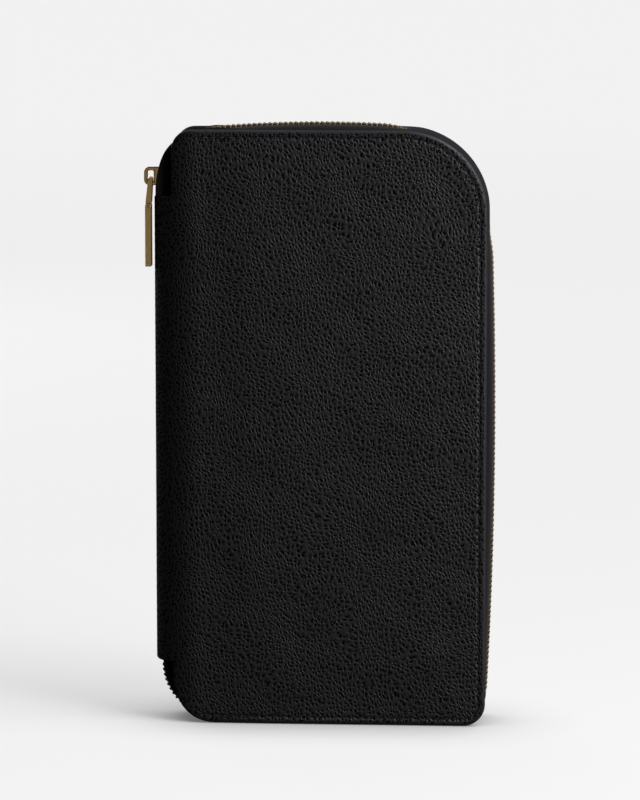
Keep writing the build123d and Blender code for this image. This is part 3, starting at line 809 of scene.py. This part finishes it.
def tape_shape(lengths):
    """The tape at lengths along the chain: how far it reaches to the side, runs in under the cover, rises
    beside the slider and bulges out, how much of a gusset it is, and how much it tilts towards the cover."""
    points, _, _ = at_chain(lengths)
    x, z = points[:, 0], points[:, 1]
    past = lengths - first_length(top_arc_height)
    wide = smoothstep(x, chain_left, -50 * MM)

    # Behind the spine the tape is a narrow flat tail
    tail_reach = 3.6 * MM
    behind_low = smoothstep(z, spine_low - 3 * MM, spine_low)
    behind_high = 1 - smoothstep(z, spine_high - 1.5 * MM, spine_high - 0.3 * MM)
    behind = behind_low * behind_high * (x < -59 * MM)
    reach = outer_y(x + 1 * MM) - edge_thickness(wrap_length(x)) - 0.15 * MM
    reach = reach * (1 - behind) + tail_reach * behind

    # It runs in under the cover, but flares out to the cover's edge where the chain lies inside it
    plain_run, wide_less, tail_run, flare = 7.5, 1.5, 0.5, 1.6
    flat = np.stack([wrap_length(x), z], axis=1)
    cover_edge = cover_outline(0.0)
    within = distance_to_line(flat, cover_edge) * inside(flat, cover_edge)
    inward = ((plain_run - wide_less * wide) * (1 - behind) + tail_run * behind) * MM
    inward = inward - flare * within * (1 - behind)

    # The fold beside the slider is highest just past it, and ends in the plain tape
    fold_rise, crest_rise, far_drop = 2.4 * MM, 1.0 * MM, 1.2 * MM
    rise = fold_rise + crest_rise * hump(past, 15 * MM, 7 * MM)
    rise = rise - far_drop * smoothstep(past, 18 * MM, 32 * MM)
    gusset = (1 - smoothstep(past, 30 * MM, 48 * MM)) * (1 - behind)

    # The plain tape bulges out most round the wide corner, over the teeth
    least, along_sides, at_corner = 0.1, 1.4, 5.6
    bulge = least + along_sides * smoothstep(x, -52 * MM, -36 * MM) + at_corner * corner_bump(lengths)
    return reach, inward, rise, bulge, gusset, np.maximum(wide, gusset)


def blend_zip(piece, side):
    """Works out where a piece of the zip would bend from its cover to the spine, which is not used, and
    bakes the piece's transform into its mesh.
    """
    start, end = [(x, side * 10 * MM, 0) for x in zip_bend]
    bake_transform(piece)
    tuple(start)
    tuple(end)


def add_tape(side):
    """One side's zip tape, with a fold beside the slider at the top left corner."""
    cover = cover_name(side)
    start = first_length(spine_high - 12 * MM)
    end = first_length(spine_low + 12 * MM, last=True)
    gusset_end = first_length(top_arc_height) + 60 * MM
    lengths = np.concatenate([np.arange(start, gusset_end, 0.5 * MM), np.arange(gusset_end, end, 1.5 * MM)])
    points, normals, _ = at_chain(lengths)
    reach, inward, rise, bulge, gusset, tilt = tape_shape(lengths)
    gusset_reach = np.maximum(reach, slider_side + 0.5 * MM)
    steps = 18
    layers = []
    for lift in (0.0, tape_thickness):
        rows = []
        for share in np.linspace(0, 1, steps):
            every = np.full(len(lengths), share)
            plain_out, plain_y = plain_section(every, reach, inward, bulge)
            gusset_out, gusset_y = gusset_section(every, gusset_reach, inward, rise)
            y = plain_y * (1 - gusset) + gusset_y * gusset
            out = plain_out * (1 - gusset) + gusset_out * gusset
            slope = smoothstep(every, 0.4, 0.9) * tilt
            spots = points + normals * (out - lift * (1 - slope))[:, None]
            rows.append(np.stack([spots[:, 0], side * (y - lift * slope), spots[:, 1]], axis=1))
        layers.append(np.stack(rows))
    uvs = np.stack(np.meshgrid(lengths, np.linspace(0, 13 * MM, steps)), axis=-1)
    tape = strip(cover + "_tape", layers[0], layers[1], tape_cloth, uvs)
    dress(tape, "zip_tape", None, cover + "_zip_tape", "top_end_tapes", "bottom_end_tapes")
    blend_zip(tape, side)


def rounded_block(sizes, bevel, segments, middle):
    """A box with rounded edges, as points and faces."""
    work = bmesh.new()
    bmesh.ops.create_cube(work, size=1.0)
    bmesh.ops.scale(work, vec=sizes, verts=work.verts)
    bmesh.ops.bevel(work, geom=work.edges[:], offset=bevel, segments=segments, profile=0.5, affect="EDGES")
    bmesh.ops.translate(work, vec=middle, verts=work.verts)
    work.verts.ensure_lookup_table()
    points = [tuple(v.co) for v in work.verts]
    faces = [tuple(v.index for v in f.verts) for f in work.faces]
    work.free()
    return points, faces


def joined(*patterns):
    """Several patterns as one."""
    points, faces = [], []
    for part_points, part_faces in patterns:
        faces += [tuple(i + len(points) for i in face) for face in part_faces]
        points += part_points
    return points, faces


def tooth_pattern():
    """One zip tooth: a waisted body that clasps the tape and a rounded head past the middle plane."""
    body = rounded_block((1.0 * MM, 1.6 * MM, 1.95 * MM), 0.28 * MM, segments=2, middle=(0, 1.75 * MM, 0))
    neck = rounded_block((0.72 * MM, 1.1 * MM, 1.5 * MM), 0.15 * MM, segments=1, middle=(0, 0.6 * MM, 0))
    head = rounded_block((0.88 * MM, 1.0 * MM, 1.7 * MM), 0.26 * MM, segments=2, middle=(0, -0.35 * MM, 0))
    return joined(body, neck, head)


def add_teeth(side):
    """One side's row of teeth, from the slider round to the closed end, half a pitch ahead at the rear."""
    cover = cover_name(side)
    parked = 5.4 * MM  # from the arc's start to the middle of the slider
    first = first_length(top_arc_height) + parked + (tooth_pitch / 2 if side == REAR else 0)
    last = first_length(closed_end_height, last=True) - tooth_pitch
    points, normals, directions = at_chain(np.arange(first, last, tooth_pitch))
    places = []
    for point, normal, along in zip(points, normals, directions):
        axes = ((along[0], 0, along[1]), (0, side, 0), (normal[0], 0, normal[1]))
        places.append(((point[0], 0, point[1]), axes))
    teeth = scatter(cover + "_teeth", tooth_pattern(), places, teeth_gold_painted_shade)
    dress(teeth, "gold_metal", None, cover + "_zip_teeth", "top_end_teeth", "bottom_end_teeth")
    blend_zip(teeth, side)


def polished(node, body, bevel):
    """A CAD piece in gold, with rounded edges."""
    work = bmesh.new()
    work.from_mesh(frame["nodes"][node].data)
    bmesh.ops.remove_doubles(work, verts=work.verts, dist=0.004 * MM)
    bmesh.ops.dissolve_limit(work, angle_limit=math.radians(1.0), verts=work.verts, edges=work.edges)
    mesh = bpy.data.meshes.new(node + "_piece")
    work.to_mesh(mesh)
    work.free()
    obj = linked(node + "_piece", mesh)
    mesh.materials.clear()
    mesh.materials.append(gold)
    mesh.polygons.foreach_set("use_smooth", [True] * len(mesh.polygons))
    rounded = obj.modifiers.new("rounded", "BEVEL")
    rounded.width = bevel
    rounded.segments = 3
    rounded.limit_method = "ANGLE"
    rounded.angle_limit = math.radians(30)
    even = obj.modifiers.new("even_shading", "WEIGHTED_NORMAL")
    even.weight = 100
    dress(obj, "gold_metal", body, node)


# ---------------- linings and pockets


def lining_outline(inset):
    return cover_outline(inset, extra=3.4 * MM)


def add_lining(side):
    """Twill over the inside of one cover and its half of the spine."""
    cover = cover_name(side)
    near, far, edge_round_depth = 3.78 * MM, 4.3 * MM, 0.12 * MM

    def rounding(d):
        return edge_round_depth * (1 - smoothstep(d, 0, 0.3 * MM))

    def top(d, s, z):
        return near + rounding(d)

    def bottom(d, s, z):
        return far - rounding(d) + 0.04 * MM * waves(s, z, 40, 9.0 + side)

    place = wrap_place(side)
    rings = [0.3 * MM, 0.8 * MM]
    name = cover + "_twill_lining"
    lining = plate(name, lining_outline, rings, top, bottom, place, lining_cloth, 2.5 * MM, seam_s)
    dress(lining, "lining", None, cover + "_lining", "spine_lining")
    blend_fold(lining)


def flat_place(side):
    """Places a flat point (x, z) at a depth under the front or rear face."""

    def place(x, z, depth):
        return np.stack([x, side * (half_thickness - depth), z], axis=1)

    return place


def box_outline(x_low, x_high, z_low, z_high, radius):
    """Outline of a flat sheet with rounded corners, drawn in by an inset."""

    def outline(inset):
        r = max(radius - inset, 0.1 * MM)
        a, b, c, d = x_low + inset, x_high - inset, z_low + inset, z_high - inset
        return rounded_line([(a, c, r), (b, c, r), (b, d, r), (a, d, r)], 2.0 * MM)

    return outline


def add_sheet(name, node, side, edges, depth, bulge, thickness, sewn_top=False, hole=None):
    """A sewn leather sheet at a depth under the face, which bulges off inside its seams. Its top is a
    hemmed mouth, or sewn down. edges are its left, right, low and high sides."""
    x_low, x_high, z_low, z_high = edges
    corner, seam_inset, hem_width = 0.3 * MM, 1.6 * MM, 6 * MM

    def from_seams(x, z):
        nearest = np.minimum(np.minimum(x - x_low, x_high - x), z - z_low)
        return np.minimum(nearest, z_high - z) if sewn_top else nearest

    def stand(x, z):
        return bulge * smoothstep(from_seams(x, z), 1.5 * MM, 6 * MM)

    def top(d, x, z):
        return depth + stand(x, z) + rolled(d, corner)

    def bottom(d, x, z):
        seam_line = 0.14 * MM * hump(d, seam_inset, 0.35 * MM)
        hem = 0.12 * MM * smoothstep(z, z_high - hem_width, z_high - hem_width + 0.4 * MM) * (not sewn_top)
        soft = 0.1 * MM * waves(x, z, 35, depth * 900) * smoothstep(from_seams(x, z), 4 * MM, 14 * MM)
        soft = soft * (bulge > 0)
        return depth + thickness + stand(x, z) - rolled(d, corner) - seam_line + hem + soft

    rings = [r * MM for r in (0.1, 0.3, 0.8, 1.2, 1.6, 2.0, 2.6, 3.4, 4.4)]
    outline = box_outline(*edges, 2.0 * MM)
    place = flat_place(side)
    piece = plate(name, outline, rings, top, bottom, place, pocket_leather, 3.0 * MM, hole=hole)
    dress(piece, "pocket_leather", cover_body(side), node)

    def on_seam(x, z, lift):
        face = place(x, z, bottom(np.full(len(x), seam_inset), x, z) + 0.02 * MM)
        face[:, 1] += side * (lift - 0.02 * MM)
        return face

    mouth = z_high if sewn_top else z_high - 1.7 * MM
    places = stitch_places(outline(seam_inset), 2.6 * MM, on_seam, 0.0, lambda p: p[1] < mouth)
    stitches = scatter(name + "_stitches", capsule(2.0 * MM, 0.2 * MM, 0.2 * MM), places, black_thread)
    dress(stitches, "thread", cover_body(side))


def add_pocket_tapes():
    """The two short tapes of the zipped pocket."""
    near, far = half_thickness - 4.55 * MM, half_thickness - 4.25 * MM
    place = flat_place(REAR)
    for name, z_low, z_high in (("upper", 193.5, 198.0), ("lower", 188.0, 192.5)):
        outline = box_outline(-36 * MM, 52 * MM, z_low * MM, z_high * MM, 0.5 * MM)
        faces = [lambda d, x, z, depth=depth: np.full(len(d), depth) for depth in (near, far)]
        tape = plate("pocket_tape_" + name, outline, [0.4 * MM], *faces, place, tape_cloth, 3.0 * MM)
        dress(tape, "zip_tape", "rear_cover", "zip_pocket_tapes")


def add_pockets():
    """Everything sewn inside the covers, each sheet on the one before it."""
    first, second = 4.4 * MM, 6.25 * MM  # depths of the two layers of pockets
    card_step, card_lift = 13, 0.7 * MM
    slip = np.array([-44, 58, 6, 206]) * MM
    passport = np.array([-40, 56, 8, 112]) * MM
    zipped = np.array([-40, 56, 122, 205]) * MM
    boarding_pass = np.array([-40, 56, 8, 165]) * MM
    backing = np.array([-39, 55, 20, 114]) * MM
    window = box_outline(*(np.array([-34, 50, 189.9, 196.1]) * MM), 3.0 * MM)
    add_sheet("slip_pocket_sheet", "rear_slip_pocket", REAR, slip, first, 1.0 * MM, 0.8 * MM)
    add_sheet("passport_sheet", "passport_pocket", REAR, passport, second, 2.0 * MM, 0.8 * MM)
    add_sheet("zip_pocket_sheet", "zip_pocket_panel", REAR, zipped, second, 1.6 * MM, 0.7 * MM, True, window)
    add_sheet("boarding_pass_sheet", "boarding_pass_pocket", FRONT, boarding_pass, first, 1.0 * MM, 0.8 * MM)
    add_sheet("card_backing_sheet", "card_backing", FRONT, backing, second, 0.0, 0.6 * MM, sewn_top=True)
    for number in range(1, 6):
        card = np.array([-37, 53, 22, 112 - card_step * (number - 1)]) * MM
        depth = second + number * card_lift
        add_sheet(f"card_sheet_{number}", f"card_slot_{number}", FRONT, card, depth, 0.0, 0.6 * MM)


# ---------------- assembly

for side in (FRONT, REAR):
    add_cover(side)
    add_tape(side)
    add_teeth(side)
    add_lining(side)

add_pockets()
add_pocket_tapes()

# Gold pieces: CAD node, body and edge rounding in millimetres
gold_pieces = (
    ("slider_body", "zip_slider", 0.35),
    ("slider_crown", "zip_slider", 0.4),
    ("pull_link", "zip_pull", 0.25),
    ("pull_bar", "zip_pull_bar", 0.5),
    ("pull_pin", "zip_pull_bar", 0.12),
    ("top_stops", "spine", 0.2),
    ("bottom_stop", "spine", 0.2),
    ("zip_pocket_teeth", "rear_cover", 0.1),
    ("zip_pocket_stops", "rear_cover", 0.15),
    ("inner_slider", "pocket_slider", 0.15),
    ("inner_pull", "pocket_pull", 0.15),
)
for node_name, body_name, rounding in gold_pieces:
    polished(node_name, body_name, rounding * MM)

# Layers inside the covers keep their CAD shape
hidden = {"padding": foam, "board": board, "stiffener": board}
for name, node in frame["nodes"].items():
    for ending, material in hidden.items():
        if name.endswith(ending):
            node.data.materials.clear()
            node.data.materials.append(material)


# ---------------- stage, lights and camera


def stage_material(camera_glow, other_glow, albedo):
    """A studio surface that looks evenly pale to the camera but lights the object only softly. Its glow dims
    close to the object, a painted contact shadow.
    """
    n = new_material("studio_white")
    rays = n.add("ShaderNodeLightPath").outputs["Is Camera Ray"]
    # Painted contact shadow: the glow that the camera sees is dimmed by occlusion close to the object.
    near = n.add("ShaderNodeAmbientOcclusion", {"Distance": 0.04}, samples=8).outputs["AO"]
    painted_contact_shadow = n.ramp(near, 0.35, 0.95, 0.25, 1.0)
    place = n.add("ShaderNodeTexCoord").outputs["Object"]
    away = n.add("ShaderNodeVectorMath", {0: place}, operation="LENGTH").outputs["Value"]
    even = n.math("MULTIPLY", painted_contact_shadow, n.ramp(away, 0.5, 3.0, 1.0, 1.09))
    return n.finish(
        Base_Color=n.colours(rays, (0.03, 0.03, 0.03), (albedo, albedo, albedo)),
        Roughness=0.9,
        Specular_IOR_Level=0.0,
        Emission_Color=(1, 1, 1, 1),
        Emission_Strength=n.ramp(rays, 0, 1, other_glow, n.math("MULTIPLY", even, camera_glow)),
    )


def add_stage():
    floor_gap = 0.05 * MM
    bpy.ops.mesh.primitive_plane_add(size=60, location=(0, 0, panel_low - floor_gap))
    floor = bpy.context.object
    floor.name = "studio_floor"
    floor.data.materials.append(stage_material(camera_glow=0.575, other_glow=0.02, albedo=0.28))


def add_world():
    """Pale to the camera. For reflections it is bright behind and at the right, dark at the front left."""
    camera_level, left_level, right_level, back_level = 0.888, 0.003, 0.36, 0.3
    world = bpy.data.worlds.new("studio")
    bpy.context.scene.world = world
    n = Nodes(world)
    direction = n.add("ShaderNodeTexCoord").outputs["Generated"]
    parts = n.add("ShaderNodeSeparateXYZ", {0: direction}).outputs
    front = n.ramp(parts["X"], 0.0, 0.6, left_level, right_level, smooth=True)
    both = n.ramp(parts["Y"], -0.1, 0.6, front, back_level, smooth=True)
    rays = n.add("ShaderNodeLightPath").outputs["Is Camera Ray"]
    level = n.add("ShaderNodeMix", {"Factor": rays, "A": both, "B": camera_level}).outputs["Result"]
    background = n.tree.nodes["Background"]
    n.join(background.inputs["Color"], (1, 1, 1, 1))
    n.join(background.inputs["Strength"], level)


def area_light(name, location, size, power):
    """A rectangular light that faces the object's middle."""
    data = bpy.data.lights.new(name, "AREA")
    data.shape = "RECTANGLE"
    data.size, data.size_y = size
    data.energy = power
    light = linked(name, data)
    light.location = location
    aim(light, Vector((0, 0, 0.115)) - Vector(location))
    return light


def metal_light():
    """A small soft card low in front, which only the metal pieces see."""
    card = area_light("metal_card", location=(-0.11, -0.6, 0.1), size=(0.14, 0.3), power=0.022)
    card.visible_camera = False
    metal = bpy.data.collections.new("metal_pieces")
    for obj in bpy.context.scene.objects:
        if obj.type == "MESH" and gold.name in obj.data.materials:
            metal.objects.link(obj)
    card.light_linking.receiver_collection = metal


def add_sun(origin, softness, power):
    """A broad soft light from far away, which throws the shadow."""
    data = bpy.data.lights.new("sun", "SUN")
    data.angle = math.radians(softness)
    data.energy = power
    aim(linked("sun", data), -Vector(origin))


def add_camera():
    """A long lens a little above the object and to its right."""
    elevation = math.radians(8.3)
    azimuth = math.radians(3.4)
    distance = 1.6
    target = Vector((-0.4 * MM, 0, 125.2 * MM))
    back = Vector((math.sin(azimuth), -math.cos(azimuth), 0)) * math.cos(elevation)
    back.z = math.sin(elevation)
    data = bpy.data.cameras.new("camera")
    data.lens = 186.8
    data.sensor_width = 36
    data.clip_end = 50
    camera = linked("camera", data)
    camera.location = target + back * distance
    aim(camera, -back)
    bpy.context.scene.camera = camera


add_stage()
add_world()
area_light("key", location=(0.62, -0.5, 0.4), size=(0.35, 0.5), power=4.4)
area_light("left_fill", location=(-0.7, 1.2, 0.6), size=(0.4, 0.8), power=2)
metal_light()
add_sun(origin=(1.0, -0.3, 1.25), softness=38, power=3.0)
add_camera()
bpy.context.scene.view_settings.view_transform = "Standard"
